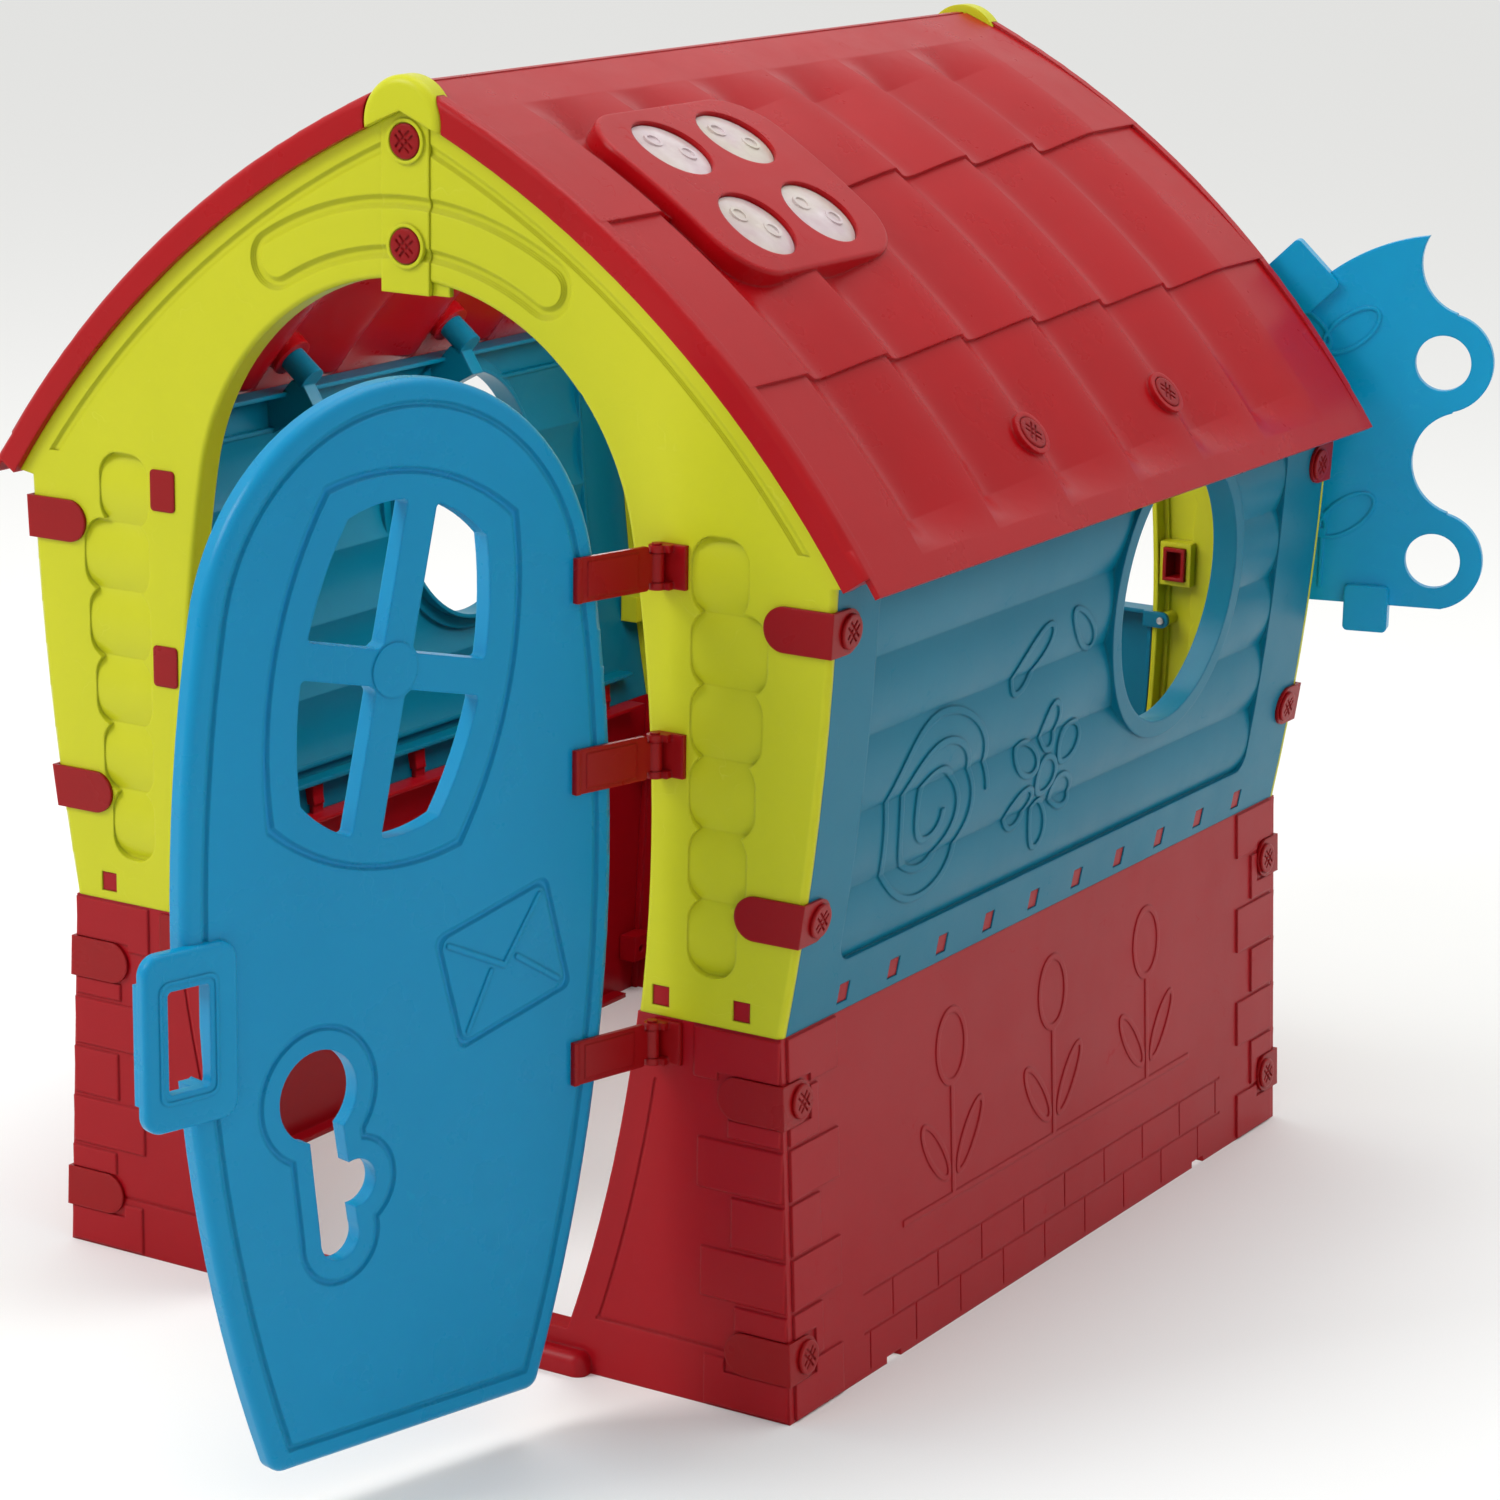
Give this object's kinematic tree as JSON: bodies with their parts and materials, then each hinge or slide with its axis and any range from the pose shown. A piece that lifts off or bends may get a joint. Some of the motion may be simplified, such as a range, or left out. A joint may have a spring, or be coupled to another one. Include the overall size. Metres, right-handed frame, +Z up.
{
  "type": "playhouse",
  "caption": "Child's plastic playhouse: red base, lime gables, blue log-look side walls, red tiled gable roof with skylights, swinging door and back window shutters.",
  "frame": {"origin": "on the floor under the middle of the house, midway between the two gables and between the two side walls", "axes": "+Z up, -Y out of the front door, +X towards the side wall on the right of someone facing the door"},
  "size_m": [1.0828, 1.5614, 1.104],
  "materials": {
    "yellow": "satin moulded plastic, lime yellow",
    "base_red": "satin moulded plastic, red",
    "side_blue": "satin moulded plastic, petrol blue",
    "trim_red": "satin moulded plastic, dark red",
    "door_blue": "glossy moulded plastic, blue",
    "metal": "zinc plated",
    "roof_red": "glossy moulded plastic, red",
    "shutter_blue": "glossy moulded plastic, bright blue",
    "lens_clear": "clear plastic"
  },
  "bodies": {
    "house": {"back_arch_left": "yellow", "back_arch_right": "yellow", "back_base_wall": "base_red", "back_infill_panel": "side_blue", "back_lap_screws": "trim_red", "back_left_corner_clips": "trim_red", "back_left_corner_screws": "trim_red", "back_ridge_cap": "yellow", "back_right_corner_clips": "trim_red", "back_right_corner_screws": "trim_red", "door_hinge_bracket_lower": "trim_red", "door_hinge_bracket_middle": "trim_red", "door_hinge_bracket_upper": "trim_red", "door_hinge_pins": "trim_red", "front_arch_left": "yellow", "front_arch_right": "yellow", "front_base_wall": "base_red", "front_lap_screws": "trim_red", "front_left_corner_clips": "trim_red", "front_left_corner_screws": "trim_red", "front_ridge_cap": "yellow", "front_right_corner_clips": "trim_red", "front_right_corner_screws": "trim_red", "infill_screws": "metal", "left_base_wall": "base_red", "left_roof": "roof_red", "left_roof_screws": "trim_red", "left_shutter_bracket_middle": "trim_red", "left_shutter_bracket_upper": "trim_red", "left_shutter_pins": "trim_red", "left_side_wall": "side_blue", "left_skylight_lens": "lens_clear", "right_base_wall": "base_red", "right_roof": "roof_red", "right_roof_screws": "trim_red", "right_shutter_bracket_middle": "trim_red", "right_shutter_bracket_upper": "trim_red", "right_shutter_pins": "trim_red", "right_side_wall": "side_blue", "right_skylight_lens": "lens_clear", "slot_plugs": "trim_red"},
    "door": {"door_hinge_strap_lower": "trim_red", "door_hinge_strap_middle": "trim_red", "door_hinge_strap_upper": "trim_red", "door_panel": "door_blue"},
    "right_shutter": {"right_shutter": "shutter_blue", "right_shutter_strap_middle": "trim_red", "right_shutter_strap_upper": "trim_red"},
    "left_shutter": {"left_shutter": "shutter_blue", "left_shutter_strap_middle": "trim_red", "left_shutter_strap_upper": "trim_red"}
  },
  "joints": [
    {"name": "door_swing", "type": "hinge", "parent": "house", "child": "door", "pos_m": [0.258, -0.487, 0], "axis": [0, 0, 1], "range_deg": [-75, 85]},
    {"name": "right_shutter_swing", "type": "hinge", "parent": "house", "child": "right_shutter", "pos_m": [0.258, 0.487, 0], "axis": [0, 0, 1], "range_deg": [0, 165]},
    {"name": "left_shutter_swing", "type": "hinge", "parent": "house", "child": "left_shutter", "pos_m": [-0.258, 0.487, 0], "axis": [0, 0, 1], "range_deg": [-165, 0]}
  ]
}
